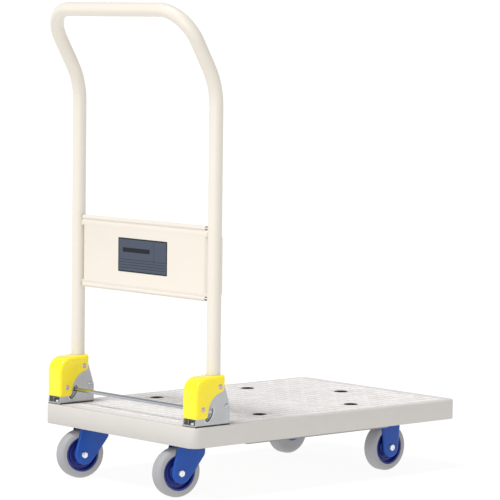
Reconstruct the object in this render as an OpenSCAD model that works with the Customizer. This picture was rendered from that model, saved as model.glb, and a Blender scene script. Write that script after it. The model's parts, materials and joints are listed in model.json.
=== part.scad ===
// Folding platform cart: tray deck, four casters, tubular push handle that folds
// flat over the deck on two hinge brackets, and a foot-operated release bar.
// Millimetres, +X is forward (away from the handle), +Z up, floor at z = 0.

/* [Deck] */
// Length of the deck
deck_l = 740; // [700:10:900]
// Width of the deck
deck_w = 480; // [480:10:600]
// Height of the deck top above the floor
deck_h = 150; // [150:1:156]
// Height of the side skirt
skirt_h = 41; // [36:1:44]
// Vertical corner radius of the deck
corner_r = 20; // [12:1:30]
// Wall thickness of the tray
deck_wall = 1.6; // [1.2:0.2:3]

/* [Handle] */
// Distance between the two posts, centre to centre
post_gap = 432; // [432:2:434]
// Distance of the posts from the rear edge of the deck
post_x = 70.7; // [70:0.1:72]
// Outside diameter of the handle tube
tube_d = 28; // [27:0.5:28]
// Wall thickness of the handle tube
tube_wall = 1.5; // [1.2:0.1:2]
// Height at which the posts lean back
kink_z = 821.5; // [780:0.5:860]
// Angle of the backward lean
kink_a = 30.5; // [10:0.5:35]
// Bend radius of the lean
kink_r = 150; // [100:5:180]
// Length of the leaning part, up to the grip bar
lean_l = 171; // [150:1:200]
// Bend radius of the two top corners
top_r = 72; // [60:1:76]

/* [Handle panel] */
// Bottom of the panel
panel_z0 = 394; // [380:1:420]
// Top of the panel
panel_z1 = 544; // [520:1:560]
// Thickness of the panel sheet
panel_t = 1.4; // [1:0.1:1.6]
// Diameter of the rolled edges
bead_d = 10; // [8:0.5:12]
// Width of the label plate
label_w = 155; // [120:5:200]
// Height of the label plate
label_h = 69.5; // [50:0.5:80]

/* [Hinge] */
// Height of the fold pivot above the deck
pivot_h = 77; // [77:0.5:78]
// Outside width of a bracket
bracket_w = 40; // [40:0.5:41]
// Diameter of the fold pins
fold_pin_d = 8; // [6:0.5:9]
// Diameter of the release rod
rod_d = 8; // [7:0.5:8.5]
// Swing radius of the release rod
rod_r = 23; // [22.5:0.5:23]

/* [Casters] */
// Wheel diameter
wheel_d = 100; // [96:1:100]
// Tyre width
tyre_w = 30; // [26:1:30]
// Distance of the swivel axes from the rear edge
swivel_x = 64; // [62:1:70]
// Distance of the fixed wheels from the rear edge
fixed_x = 611; // [580:1:640]
// Distance of the casters from the centre line
caster_y = 153.5; // [140:0.5:155]
// Trail of the swivel casters
trail = 31; // [28:1:31]
// Rest angle of the right swivel caster
swivel_a_right = 10; // [0:1:30]
// Rest angle of the left swivel caster
swivel_a_left = 13; // [0:1:30]

/* [Hidden] */
tube_r = tube_d / 2;
arc_step = 9;
bar_top_x = post_x - lean_l * sin(kink_a) - tube_r;
x0 = -(deck_l + bar_top_x) / 2;
px = x0 + post_x;
py = post_gap / 2;
skirt_z = deck_h - skirt_h;
under_z = deck_h - deck_wall;
in_r = corner_r - deck_wall;
tread_t = 1;
tread_x0 = 112;
tread_edge = 12;
tread_r = 10;
tread_rear = 14;
tread_half = post_gap / 2 - bracket_w / 2 - 8;
plug_d = 26;
plug_head = 30;
plug_spots = [[243, 163], [243, -163], [500, 163], [500, -163], [627, 0]];
rail_x0 = 165;
rail_x1 = fixed_x - 52;
rail_y = deck_w / 2 - 35;
rail_w = 20;
rail_z = deck_h - 48;
plate_z = deck_h - 22;
plate_t = 3;
member_z = plate_z + plate_t;
member_w = 96;
member_l = 396;
sheet_t = 3;
member_t = 2;
gasket_t = 1;
base_z = deck_h + gasket_t;
base_x0 = 8.5;
base_x1 = 98;
bolt_xs = [19, 84];
pivot_z = deck_h + pivot_h;
lever_x = 26;
lever_z = deck_h + 35;
stop_x = 89.2;
stop_z = deck_h + 37.8;
stop_d = 8;
rod_a = -14;
slot_w = 11;
slot_a0 = -6;
slot_a1 = -60;
rod_x = lever_x + rod_r * cos(rod_a);
rod_z = lever_z + rod_r * sin(rod_a);
tail_z = pivot_z - 42;
fit = 0.1;
cover_w = 44;
cover_wall = 1.8;
cover_gap = 0.2;
cover_x0 = 7.5;
cover_x1 = 82;
cover_z0 = deck_h + 16.5;
cover_z1 = deck_h + 101;
head_t = 1.6;
axle_z = wheel_d / 2;
leg_in = 18;
leg_t = 2.5;
leg_out = leg_in + leg_t;
axle_d = 8;
sleeve_d = 12;
bearing_d = 22;
hub_w = 33;
core_r = 36;
crown_r = 9;
crown_z = deck_h - 34.5;
race_z = crown_z + 9;
ball_d = 5.8;
kingpin_d = 12;
plate_l = 95;
plate_w = 75;
caster_bolt_x = 38;
caster_bolt_y = 28;
caster_bolt_d = 7.2;
caster_hex_d = 13;
caster_hole_d = 8.4;
bracket_bolt_d = 6;
bracket_hex_d = 11;
bracket_hole_d = 6.4;
lever_pin_d = 6;
washer_d = 19;
washer_gap = 0.35;
spring_wire = 1.6;
spring_r = 8;
spring_pitch = 1.4;
spring_turns = 5;
spring_y = 7.6;
clip_d = 12;
clip_t = 1.2;
clip_y = 7.5;
boss_half = 16.4;
lever_half = 6;
rod_end = 0.8;
foot_l = 58;
kink_t = kink_r * tan(kink_a / 2);
seam = 0.01;
seam_in = 0.2;
sheet_x = post_x - 5.3;
bead_x = sheet_x + 2.5;
bead_half = post_gap / 2 - 22;
wrap_in = tube_r + 0.1;
wrap_out = wrap_in + panel_t;
wrap_low = 16;
wrap_high = 22;
label_t = 0.6;
label_rise = 0.8;
rim_half = 13;
rim_wall = 4;
web_half = 5;
ring_half = 7.5;
ring_out_d = 54;
ring_in_d = 47;
hub_d = 29;
seat_l = 7;
axle_head_d = 14;
axle_head_t = 5;
axle_nut_t = 6.5;
axle_end = 9;
crown_r_out = 29;
crown_t = 3;
race_r = 26;
ball_count = 14;
ball_ring = 20;

// ---------- plane helpers ----------

function turn(a, b) = atan2(b[1] - a[1], b[0] - a[0])
    - 90 + asin((a[2] - b[2]) / norm([b[0] - a[0], b[1] - a[1]]));
function rim_point(c, a) = [c[0] + c[2] * cos(a), c[1] + c[2] * sin(a)];

function corner_turn(p, q, r) = ((turn(q, r) - turn(p, q)) % 360 + 360) % 360;
function corner_arc(p, q, r) = let (k = ceil(corner_turn(p, q, r) / arc_step))
    [for (j = [0 : k]) rim_point(q, turn(p, q) + corner_turn(p, q, r) * j / k)];

// Convex outline through round corners, given anticlockwise as [x, y, radius]
module soft(c) {
    n = len(c);
    polygon([for (i = [0 : n - 1]) each corner_arc(c[(i + n - 1) % n], c[i], c[(i + 1) % n])]);
}

function arc(x, y, r, a0, a1, n) = [for (j = [0 : n])
    rim_point([x, y, r], a0 + (a1 - a0) * j / n)];

// Slot of half width w that follows a circle of radius r from angle a0 to a1
module curved_slot(r, w, a0, a1) polygon([
    each arc(0, 0, r + w, a0, a1, 8), each arc(r * cos(a1), r * sin(a1), w, a1, a1 + 180, 16),
    each arc(0, 0, r - w, a1, a0, 8), each arc(r * cos(a0), r * sin(a0), w, a0 + 180, a0 + 360, 16)]);

module round_rect(w, d, r) {
    square([w - 2 * r, d], center = true);
    square([w, d - 2 * r], center = true);
    for (a = [-1, 1], b = [-1, 1]) translate([a * (w / 2 - r), b * (d / 2 - r)]) circle(r = r);
}

// Outline drawn in x and z, extruded along y from y0 to y1
module slab(y0, y1) {
    translate([0, y1, 0]) rotate([90, 0, 0]) linear_extrude(y1 - y0) children();
}

module both_slabs(y0, y1) {
    slab(y0, y1) children();
    slab(-y1, -y0) children();
}

// Cylinder along y through point x, z
module pin(x, z, d, y0, y1) {
    translate([x, y0, z]) rotate([-90, 0, 0]) cylinder(d = d, h = y1 - y0);
}

// Ring along y
module bush(x, z, d, bore, y0, y1) {
    difference() {
        pin(x, z, d, y0, y1);
        pin(x, z, bore, y0 - 1, y1 + 1);
    }
}

module each_side() {
    for (s = [-1, 1]) translate([x0, s * py, 0]) children();
}

// ---------- deck ----------

module deck_shell() color([0.86, 0.84, 0.82]) difference() {
    translate([x0 + deck_l / 2, 0, skirt_z]) linear_extrude(skirt_h)
        round_rect(deck_l, deck_w, corner_r);
    translate([x0 + deck_l / 2, 0, skirt_z - 1]) linear_extrude(skirt_h - deck_wall + 1)
        round_rect(deck_l - 2 * deck_wall, deck_w - 2 * deck_wall, in_r);
    for (p = plug_spots) translate([x0 + p[0], p[1], under_z - 1]) cylinder(d = plug_d, h = 8);
    each_side() for (x = bolt_xs) translate([x, 0, under_z - 1]) cylinder(d = bracket_hole_d, h = 8);
}

module deck_tread() color([0.9, 0.89, 0.87]) difference() {
    translate([x0, 0, deck_h]) linear_extrude(tread_t) {
        translate([(tread_x0 + deck_l - tread_edge) / 2, 0])
            round_rect(deck_l - tread_edge - tread_x0, deck_w - 2 * tread_edge, tread_r);
        translate([tread_rear, -tread_half])
            square([tread_x0 + tread_r - tread_rear, 2 * tread_half]);
    }
    for (p = plug_spots) translate([x0 + p[0], p[1], deck_h - 1])
        cylinder(d = plug_head + 1, h = 4);
}

module deck_plugs() color([0.06, 0.06, 0.06]) for (p = plug_spots) {
    translate([x0 + p[0], p[1], deck_h - 6]) cylinder(d = plug_d - 0.4, h = 6.4);
    translate([x0 + p[0], p[1], deck_h]) cylinder(d = plug_head, h = 0.9);
}

module deck_rails() color([0.5, 0.5, 0.52]) for (s = [-1, 1])
    translate([x0 + rail_x0, s * rail_y, 0]) rotate([0, 0, 90 - 90 * s])
    translate([s > 0 ? 0 : rail_x0 - rail_x1, 0, rail_z]) difference() {
        translate([0, -rail_w / 2, 0]) cube([rail_x1 - rail_x0, rail_w, under_z - rail_z]);
        translate([-1, -rail_w / 2 - 1, member_t])
            cube([rail_x1 - rail_x0 + 2, rail_w + 1 - member_t, under_z - rail_z - 2 * member_t]);
    }

module cross_members() color([0.5, 0.5, 0.52]) for (x = [swivel_x, fixed_x])
    translate([x0 + x, 0, member_z]) difference() {
        translate([-member_w / 2, -member_l / 2, 0])
            cube([member_w, member_l, under_z - member_z]);
        translate([-member_w / 2 + member_t, -member_l / 2 - 1, member_t])
            cube([member_w - 2 * member_t, member_l + 2, under_z - member_z]);
        for (s = [-1, 1], a = [-1, 1], b = [-1, 1])
            translate([a * caster_bolt_x, s * caster_y + b * caster_bolt_y, -1])
                cylinder(d = caster_hole_d, h = member_t + 2);
    }

// ---------- hinge brackets ----------

module bracket_plate2d() difference() {
    soft([[base_x0 + 2, base_z + 2, 2], [base_x1 - 3, base_z + 3, 3],
          [base_x1 - 6, stop_z - 2, 6], [post_x, pivot_z, 13],
          [lever_x, lever_z + 4, 12]]);
    translate([post_x, pivot_z]) circle(d = fold_pin_d);
    translate([lever_x, lever_z]) circle(d = lever_pin_d);
    translate([stop_x, stop_z]) circle(d = stop_d);
    translate([lever_x, lever_z]) curved_slot(rod_r, slot_w / 2, slot_a1, slot_a0);
}

module bracket() difference() {
    union() {
        both_slabs(bracket_w / 2 - sheet_t, bracket_w / 2) bracket_plate2d();
        translate([base_x0, -bracket_w / 2 + 1, base_z])
            cube([base_x1 - base_x0, bracket_w - 2, sheet_t]);
    }
    for (x = bolt_xs) translate([x, 0, base_z - 1]) cylinder(d = bracket_hole_d, h = sheet_t + 2);
}

module bracket_left() color([0.68, 0.69, 0.7]) translate([x0, py, 0]) bracket();
module bracket_right() color([0.68, 0.69, 0.7]) translate([x0, -py, 0]) bracket();

module bracket_gaskets() color([0.15, 0.15, 0.15]) each_side() difference() {
    translate([base_x0, -bracket_w / 2, deck_h])
        cube([base_x1 - base_x0 + 1, bracket_w, gasket_t]);
    for (x = bolt_xs) translate([x, 0, deck_h - 1]) cylinder(d = bracket_hole_d, h = gasket_t + 2);
}

module bracket_bolts() color([0.8, 0.8, 0.8]) each_side() for (x = bolt_xs) {
    translate([x, 0, base_z + sheet_t]) cylinder(d = bracket_hex_d, h = 4, $fn = 6);
    translate([x, 0, under_z - 9])
        cylinder(d = bracket_bolt_d, h = base_z + sheet_t - under_z + 9);
}

module bracket_nuts() color([0.8, 0.8, 0.8]) each_side() for (x = bolt_xs)
    translate([x, 0, under_z - 5]) difference() {
        cylinder(d = bracket_hex_d, h = 5, $fn = 6);
        translate([0, 0, -1]) cylinder(d = bracket_bolt_d, h = 7);
    }

// Side outline of the plastic cover, inset by m at the rear and the top
module cover_side2d(m) soft([
    [cover_x0 + 10, cover_z0 + 10, 10 - m], [cover_x1 - 11, pivot_z, 11 - m],
    [cover_x1 - 4, cover_z1 - 4, 4 - m], [cover_x0 + 30, cover_z1 - 33, 30 - m],
    [cover_x0 + 3, cover_z0 + 3, 3 - m]]);

module cover_cut2d() translate([82, deck_h + 24.5]) circle(r = 42);

module hinge_cover() difference() {
    slab(-cover_w / 2, cover_w / 2) difference() {
        union() {
            cover_side2d(0);
            soft([[cover_x0 + 3, cover_z0 + 3, 3], [26, cover_z0 + 10, 10],
                  [cover_x1 - 11, pivot_z, 11], [cover_x0 + 30, cover_z1 - 33, 30]]);
        }
        cover_cut2d();
    }
    slab(-bracket_w / 2 - cover_gap, bracket_w / 2 + cover_gap) {
        cover_side2d(cover_wall);
        translate([cover_x0 + cover_wall, cover_z0 - 1]) square([90, 30]);
        translate([60, cover_z0]) square([40, 76]);
    }
    translate([post_x, 0, pivot_z]) cylinder(r = tube_r + 1.2, h = 40);
    translate([post_x, -tube_r - 1.2, pivot_z]) cube([30, 2 * tube_r + 2.4, 40]);
    pin(post_x, pivot_z, fold_pin_d, -30, 30);
    pin(lever_x, lever_z, lever_pin_d, -30, 30);
}

module cover_left() color([0.98, 0.9, 0.1]) translate([x0, py, 0]) hinge_cover();
module cover_right() color([0.98, 0.9, 0.1]) translate([x0, -py, 0]) hinge_cover();

module headed_pin(x, z, d, head_d, half, t) {
    pin(x, z, d, -half, half);
    pin(x, z, head_d, half, half + t);
    pin(x, z, head_d, -half - t, -half);
}

module fold_pins() color([0.75, 0.75, 0.77]) each_side()
    headed_pin(post_x, pivot_z, fold_pin_d, 11, cover_w / 2, head_t);
module lever_pins() color([0.75, 0.75, 0.77]) each_side()
    headed_pin(lever_x, lever_z, lever_pin_d, 10, cover_w / 2, head_t);
module stop_pins() color([0.75, 0.75, 0.77]) each_side()
    headed_pin(stop_x, stop_z, stop_d, 11, bracket_w / 2, head_t);

module fold_washers() color([0.9, 0.9, 0.88]) each_side() for (s = [-1, 1])
    bush(post_x, pivot_z, washer_d, fold_pin_d,
         s > 0 ? tube_r + washer_gap : sheet_t - bracket_w / 2,
         s > 0 ? bracket_w / 2 - sheet_t : -tube_r - washer_gap);

module lever_springs() color([0.35, 0.35, 0.37]) each_side() {
    for (i = [0 : spring_turns - 1])
        translate([lever_x, spring_y + spring_pitch * i, lever_z]) rotate([90, 0, 0])
        rotate_extrude() translate([spring_r, 0]) circle(d = spring_wire);
    translate([lever_x - spring_r, spring_y + spring_pitch * (spring_turns - 1),
               base_z + sheet_t])
        cylinder(d = spring_wire - 0.1, h = lever_z - base_z - sheet_t);
}

// ---------- release bar ----------

module release_rod() color([0.8, 0.81, 0.83])
    pin(x0 + rod_x, rod_z, rod_d, rod_end - py - bracket_w / 2, py + bracket_w / 2 - rod_end);

module rod_clips() color([0.3, 0.3, 0.3]) each_side() for (s = [-1, 1])
    bush(rod_x, rod_z, clip_d, rod_d, s * clip_y - clip_t / 2, s * clip_y + clip_t / 2);

module lock_lever() difference() {
    union() {
        slab(-lever_half, lever_half)
            soft([[lever_x, lever_z, 7], [rod_x, rod_z, 6.8]]);
        pin(lever_x, lever_z, 12, -boss_half, boss_half);
    }
    pin(lever_x, lever_z, lever_pin_d + fit, -20, 20);
    pin(rod_x, rod_z, rod_d, -20, 20);
}

module lock_lever_left() color([0.6, 0.61, 0.62]) translate([x0, py, 0]) lock_lever();
module lock_lever_right() color([0.6, 0.61, 0.62]) translate([x0, -py, 0]) lock_lever();

// ---------- handle ----------

module half_handle(d, s) {
    translate([px, s * py, tail_z]) cylinder(d = d, h = kink_z - kink_t - tail_z);
    translate([px - kink_r, s * py, kink_z - kink_t]) rotate([90, 0, 0])
        rotate_extrude(angle = kink_a) translate([kink_r, 0]) circle(d = d);
    translate([px, 0, kink_z]) rotate([0, -kink_a, 0]) {
        translate([0, s * py, kink_t + seam])
            cylinder(d = d, h = lean_l - top_r - kink_t - seam);
        mirror([0, s < 0 ? 1 : 0, 0]) translate([0, py - top_r, lean_l - top_r])
            rotate([90, 0, 90]) rotate_extrude(angle = 90) translate([top_r, 0])
            circle(d = d);
    }
}

module handle_body(d) {
    half_handle(d, 1);
    half_handle(d, -1);
    translate([px, 0, kink_z]) rotate([0, -kink_a, 0])
        pin(0, lean_l, d, top_r - py, py - top_r);
}

// Inside the tube wall, keeps the bend and the leaning straight one solid
module seam_ring(s) translate([px, 0, kink_z]) rotate([0, -kink_a, 0])
    translate([0, s * py, kink_t - 1]) difference() {
        cylinder(d = tube_d - seam_in, h = 4);
        translate([0, 0, -1]) cylinder(d = tube_d - 2 * tube_wall + seam_in, h = 6);
    }

module handle_tube() color([0.97, 0.94, 0.88]) {
    difference() {
        handle_body(tube_d);
        handle_body(tube_d - 2 * tube_wall);
        for (s = [-1, 1]) pin(px, pivot_z, fold_pin_d + fit, s * py - 20, s * py + 20);
    }
    seam_ring(1);
    seam_ring(-1);
}

module tube_feet() color([0.7, 0.7, 0.72]) for (s = [-1, 1]) difference() {
    translate([px, s * py, tail_z + 0.5])
        cylinder(d = tube_d - 2 * tube_wall - fit, h = foot_l);
    pin(px, pivot_z, fold_pin_d + fit, s * py - 20, s * py + 20);
}

module post_wrap2d() translate([post_x, -py]) {
    difference() {
        circle(r = wrap_out);
        circle(r = wrap_in);
        translate([-40, -40]) square([40, 80]);
        rotate(15) translate([-40, -40]) square([40, 40]);
    }
    translate([sheet_x - post_x - panel_t / 2, wrap_in])
        square([post_x - sheet_x + 0.1 + panel_t / 2, panel_t]);
}

module handle_panel() color([0.97, 0.94, 0.88]) translate([x0, 0, 0]) {
    translate([0, 0, panel_z0 + wrap_low])
        linear_extrude(panel_z1 - panel_z0 - wrap_low - wrap_high) {
        post_wrap2d();
        mirror([0, 1]) post_wrap2d();
        translate([sheet_x - panel_t / 2, wrap_in - py]) square([panel_t, 2 * (py - wrap_in)]);
    }
    translate([sheet_x - panel_t / 2, -bead_half, panel_z0 + bead_d - 2])
        cube([panel_t, 2 * bead_half, panel_z1 - panel_z0 - 2 * bead_d + 4]);
    for (z = [panel_z0 + bead_d / 2, panel_z1 - bead_d / 2])
        bush(bead_x, z, bead_d, bead_d - 2 * panel_t, -bead_half, bead_half);
}

module panel_rivets() color([0.97, 0.94, 0.88]) translate([x0, 0, 0])
    for (s = [-1, 1], z = [panel_z0 + 32, panel_z1 - 38])
        translate([post_x + wrap_out, s * py, z]) rotate([0, 90, 0])
        cylinder(d = 8, h = 1.5);

module label_plate() color([0.5, 0.54, 0.62])
    translate([x0 + sheet_x - panel_t / 2 - label_t, -label_w / 2,
               (panel_z0 + panel_z1 - label_h) / 2 + label_rise])
    cube([label_t, label_w, label_h]);

// ---------- casters ----------

// Wheel parts are drawn at the origin with their axle along y
module tyre() rotate([90, 0, 0]) rotate_extrude() difference() {
    union() {
        translate([core_r, -tyre_w / 2]) square([wheel_d / 2 - core_r - crown_r, tyre_w]);
        translate([core_r, crown_r - tyre_w / 2])
            square([wheel_d / 2 - core_r, tyre_w - 2 * crown_r]);
        for (s = [-1, 1]) translate([wheel_d / 2 - crown_r, s * (tyre_w / 2 - crown_r)])
            circle(r = crown_r);
    }
    translate([0, -tyre_w]) square([core_r, 2 * tyre_w]);
}

module wheel_core() difference() {
    union() {
        bush(0, 0, 2 * core_r, 2 * (core_r - rim_wall), -rim_half, rim_half);
        pin(0, 0, 2 * core_r - rim_wall, -web_half, web_half);
        bush(0, 0, ring_out_d, ring_in_d, -ring_half, ring_half);
        pin(0, 0, hub_d, -hub_w / 2, hub_w / 2);
    }
    pin(0, 0, sleeve_d + 2, -30, 30);
    pin(0, 0, bearing_d, hub_w / 2 - seat_l, 30);
    pin(0, 0, bearing_d, -30, seat_l - hub_w / 2);
}

module wheel_bearings() for (s = [-1, 1])
    bush(0, 0, bearing_d, sleeve_d + fit, s > 0 ? hub_w / 2 - seat_l : -hub_w / 2,
         s > 0 ? hub_w / 2 : seat_l - hub_w / 2);

module axle_bolt() {
    pin(0, 0, axle_d, -leg_out, leg_out + axle_end);
    translate([0, -leg_out, 0]) rotate([90, 0, 0])
        cylinder(d = axle_head_d, h = axle_head_t, $fn = 6);
}
module axle_nut() difference() {
    translate([0, leg_out, 0]) rotate([-90, 0, 0])
        cylinder(d = axle_head_d, h = axle_nut_t, $fn = 6);
    pin(0, 0, axle_d, 0, 60);
}
module axle_sleeve() bush(0, 0, sleeve_d, axle_d, -leg_in, leg_in);

module at_fixed(s) translate([x0 + fixed_x, s * (caster_y - 0.5), axle_z]) children();
module at_swivel(s) translate([x0 + swivel_x, s * caster_y, axle_z])
    rotate([0, 0, s > 0 ? -swivel_a_left : -swivel_a_right]) children();
module at_trail(s) at_swivel(s) translate([-trail, 0, 0]) children();

module top_plate() difference() {
    translate([0, 0, plate_z]) linear_extrude(plate_t) round_rect(plate_l, plate_w, 8);
    for (a = [-1, 1], b = [-1, 1])
        translate([a * caster_bolt_x, b * caster_bolt_y, plate_z - 1])
            cylinder(d = caster_hole_d, h = plate_t + 2);
}

module fixed_fork(s) {
    at_fixed(s) both_slabs(leg_in, leg_out) difference() {
        soft([[0, 0, 20], [25, plate_z - axle_z - 2, 3], [-25, plate_z - axle_z - 2, 3]]);
        circle(d = axle_d);
    }
    translate([x0 + fixed_x, s * (caster_y - 0.5), 0]) top_plate();
}
module fixed_fork_left() color([0.1, 0.3, 0.66]) fixed_fork(1);
module fixed_fork_right() color([0.1, 0.3, 0.66]) fixed_fork(-1);

module swivel_fork(s) at_swivel(s) {
    both_slabs(leg_in, leg_out) difference() {
        soft([[3 - trail, 0, 21], [50 - trail, crown_z - axle_z - crown_t, 6],
              [2 - trail, crown_z - axle_z - crown_t, 6], [0.5 - trail, 18, 21]]);
        translate([-trail, 0]) circle(d = axle_d);
    }
    translate([0, 0, crown_z - axle_z]) difference() {
        union() {
            cylinder(r = crown_r_out, h = crown_t);
            translate([-trail - 2, -leg_out, 0]) cube([56, 2 * leg_out, crown_t]);
        }
        translate([0, 0, -1]) cylinder(d = kingpin_d + fit, h = 5);
    }
    translate([51.5 - trail, -leg_out, crown_z - axle_z - 12])
        cube([2.5, 2 * leg_out, 12]);
}
module swivel_fork_left() color([0.1, 0.3, 0.66]) swivel_fork(1);
module swivel_fork_right() color([0.1, 0.3, 0.66]) swivel_fork(-1);

module swivel_plates() color([0.1, 0.3, 0.66]) for (s = [-1, 1])
    translate([x0 + swivel_x, s * caster_y, 0]) difference() {
        union() {
            top_plate();
            translate([0, 0, race_z]) cylinder(r = race_r, h = plate_z - race_z);
        }
        translate([0, 0, race_z - 1]) cylinder(d = kingpin_d, h = 30);
    }

module swivel_balls() color([0.8, 0.8, 0.82]) for (s = [-1, 1], i = [1 : ball_count])
    translate([x0 + swivel_x, s * caster_y, (crown_z + crown_t + race_z) / 2])
        rotate([0, 0, i * 360 / ball_count]) translate([ball_ring, 0, 0]) sphere(d = ball_d);

module kingpins() color([0.7, 0.7, 0.72]) for (s = [-1, 1])
    translate([x0 + swivel_x, s * caster_y, crown_z - 4.3]) {
        cylinder(d = 22, h = 4);
        cylinder(d = kingpin_d, h = plate_z + plate_t - crown_z + 4.3);
    }

module caster_spots() for (x = [swivel_x, fixed_x], s = [-1, 1], a = [-1, 1], b = [-1, 1])
    translate([x0 + x + a * caster_bolt_x, s * caster_y + b * caster_bolt_y, 0]) children();

module caster_bolts() color([0.75, 0.75, 0.77]) caster_spots() {
    translate([0, 0, plate_z - 5]) cylinder(d = caster_hex_d, h = 5, $fn = 6);
    translate([0, 0, plate_z - 1]) cylinder(d = caster_bolt_d, h = 15);
}

module caster_nuts() color([0.75, 0.75, 0.77]) caster_spots()
    translate([0, 0, member_z + member_t]) difference() {
        cylinder(d = caster_hex_d, h = 6, $fn = 6);
        translate([0, 0, -1]) cylinder(d = caster_bolt_d, h = 8);
    }

module axle_bolts_front() color([0.85, 0.86, 0.88]) for (s = [-1, 1]) at_fixed(s) axle_bolt();
module axle_nuts_front() color([0.8, 0.8, 0.8]) for (s = [-1, 1]) at_fixed(s) axle_nut();
module axle_sleeves_front() color([0.6, 0.6, 0.6]) for (s = [-1, 1]) at_fixed(s) axle_sleeve();
module axle_bolt_rear_left() color([0.85, 0.86, 0.88]) at_trail(1) axle_bolt();
module axle_nut_rear_left() color([0.8, 0.8, 0.8]) at_trail(1) axle_nut();
module axle_sleeve_rear_left() color([0.6, 0.6, 0.6]) at_trail(1) axle_sleeve();
module axle_bolt_rear_right() color([0.85, 0.86, 0.88]) at_trail(-1) axle_bolt();
module axle_nut_rear_right() color([0.8, 0.8, 0.8]) at_trail(-1) axle_nut();
module axle_sleeve_rear_right() color([0.6, 0.6, 0.6]) at_trail(-1) axle_sleeve();

module tyre_front_left() color([0.73, 0.73, 0.75]) at_fixed(1) tyre();
module core_front_left() color([0.13, 0.14, 0.55]) at_fixed(1) wheel_core();
module bearings_front_left() color([0.7, 0.7, 0.7]) at_fixed(1) wheel_bearings();
module tyre_front_right() color([0.73, 0.73, 0.75]) at_fixed(-1) tyre();
module core_front_right() color([0.13, 0.14, 0.55]) at_fixed(-1) wheel_core();
module bearings_front_right() color([0.7, 0.7, 0.7]) at_fixed(-1) wheel_bearings();
module tyre_rear_left() color([0.73, 0.73, 0.75]) at_trail(1) tyre();
module core_rear_left() color([0.13, 0.14, 0.55]) at_trail(1) wheel_core();
module bearings_rear_left() color([0.7, 0.7, 0.7]) at_trail(1) wheel_bearings();
module tyre_rear_right() color([0.73, 0.73, 0.75]) at_trail(-1) tyre();
module core_rear_right() color([0.13, 0.14, 0.55]) at_trail(-1) wheel_core();
module bearings_rear_right() color([0.7, 0.7, 0.7]) at_trail(-1) wheel_bearings();

deck_shell();
deck_tread();
deck_plugs();
deck_rails();
cross_members();
bracket_left();
bracket_right();
bracket_gaskets();
bracket_bolts();
bracket_nuts();
cover_left();
cover_right();
fold_pins();
lever_pins();
stop_pins();
fold_washers();
lever_springs();
release_rod();
rod_clips();
lock_lever_left();
lock_lever_right();
handle_tube();
tube_feet();
handle_panel();
panel_rivets();
label_plate();
fixed_fork_left();
fixed_fork_right();
swivel_fork_left();
swivel_fork_right();
swivel_plates();
swivel_balls();
kingpins();
caster_bolts();
caster_nuts();
axle_bolts_front();
axle_nuts_front();
axle_sleeves_front();
axle_bolt_rear_left();
axle_nut_rear_left();
axle_sleeve_rear_left();
axle_bolt_rear_right();
axle_nut_rear_right();
axle_sleeve_rear_right();
tyre_front_left();
core_front_left();
bearings_front_left();
tyre_front_right();
core_front_right();
bearings_front_right();
tyre_rear_left();
core_rear_left();
bearings_rear_left();
tyre_rear_right();
core_rear_right();
bearings_rear_right();
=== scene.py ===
"""Looks of the folding platform cart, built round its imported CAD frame.

Shapes are in millimetres, with x forward, y to the left and z up; make() turns them into metres.
"""
import json
import random
from math import asin, atan2, ceil, cos, hypot, pi, radians, sin, sqrt, tan

import bmesh
import bpy
from mathutils import Matrix, Vector

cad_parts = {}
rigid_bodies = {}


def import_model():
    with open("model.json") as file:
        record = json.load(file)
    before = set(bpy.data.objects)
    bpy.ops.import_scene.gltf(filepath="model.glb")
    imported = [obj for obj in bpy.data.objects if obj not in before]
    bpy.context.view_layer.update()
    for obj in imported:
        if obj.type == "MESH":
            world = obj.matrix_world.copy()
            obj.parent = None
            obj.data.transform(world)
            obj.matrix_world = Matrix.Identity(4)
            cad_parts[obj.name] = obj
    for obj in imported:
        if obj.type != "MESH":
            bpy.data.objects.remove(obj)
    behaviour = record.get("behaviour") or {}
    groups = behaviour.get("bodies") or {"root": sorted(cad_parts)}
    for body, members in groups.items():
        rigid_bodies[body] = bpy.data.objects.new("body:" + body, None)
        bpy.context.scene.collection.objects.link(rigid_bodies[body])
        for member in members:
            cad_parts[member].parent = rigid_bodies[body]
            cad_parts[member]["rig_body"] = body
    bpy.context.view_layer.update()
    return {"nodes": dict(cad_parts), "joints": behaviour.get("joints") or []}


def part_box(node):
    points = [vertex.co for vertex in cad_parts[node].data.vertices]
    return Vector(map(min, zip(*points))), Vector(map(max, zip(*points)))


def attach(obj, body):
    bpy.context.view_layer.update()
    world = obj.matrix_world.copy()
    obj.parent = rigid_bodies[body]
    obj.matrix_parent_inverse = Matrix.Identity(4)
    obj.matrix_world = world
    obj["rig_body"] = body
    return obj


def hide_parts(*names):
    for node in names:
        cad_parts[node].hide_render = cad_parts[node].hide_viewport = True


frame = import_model()

MM = 0.001
NODES = frame["nodes"]
X, Y, Z = Vector((1, 0, 0)), Vector((0, 1, 0)), Vector((0, 0, 1))


# ---------------------------------------------------------------- places from the frame

def box(node):
    lo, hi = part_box(node)
    return lo / MM, hi / MM


def mid(node):
    lo, hi = box(node)
    return (lo + hi) / 2


def islands(node):
    """Boxes of the separate solids of a CAD node."""
    bm = bmesh.new()
    bm.from_mesh(NODES[node].data)
    bmesh.ops.remove_doubles(bm, verts=bm.verts, dist=1e-6)
    seen, found = set(), []
    for start in bm.verts:
        if start in seen:
            continue
        stack, points = [start], []
        seen.add(start)
        while stack:
            v = stack.pop()
            points.append(v.co / MM)
            for e in v.link_edges:
                w = e.other_vert(v)
                if w not in seen:
                    seen.add(w)
                    stack.append(w)
        lo = Vector([min(p[i] for p in points) for i in range(3)])
        hi = Vector([max(p[i] for p in points) for i in range(3)])
        found.append((lo, hi))
    bm.free()
    return found


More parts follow.
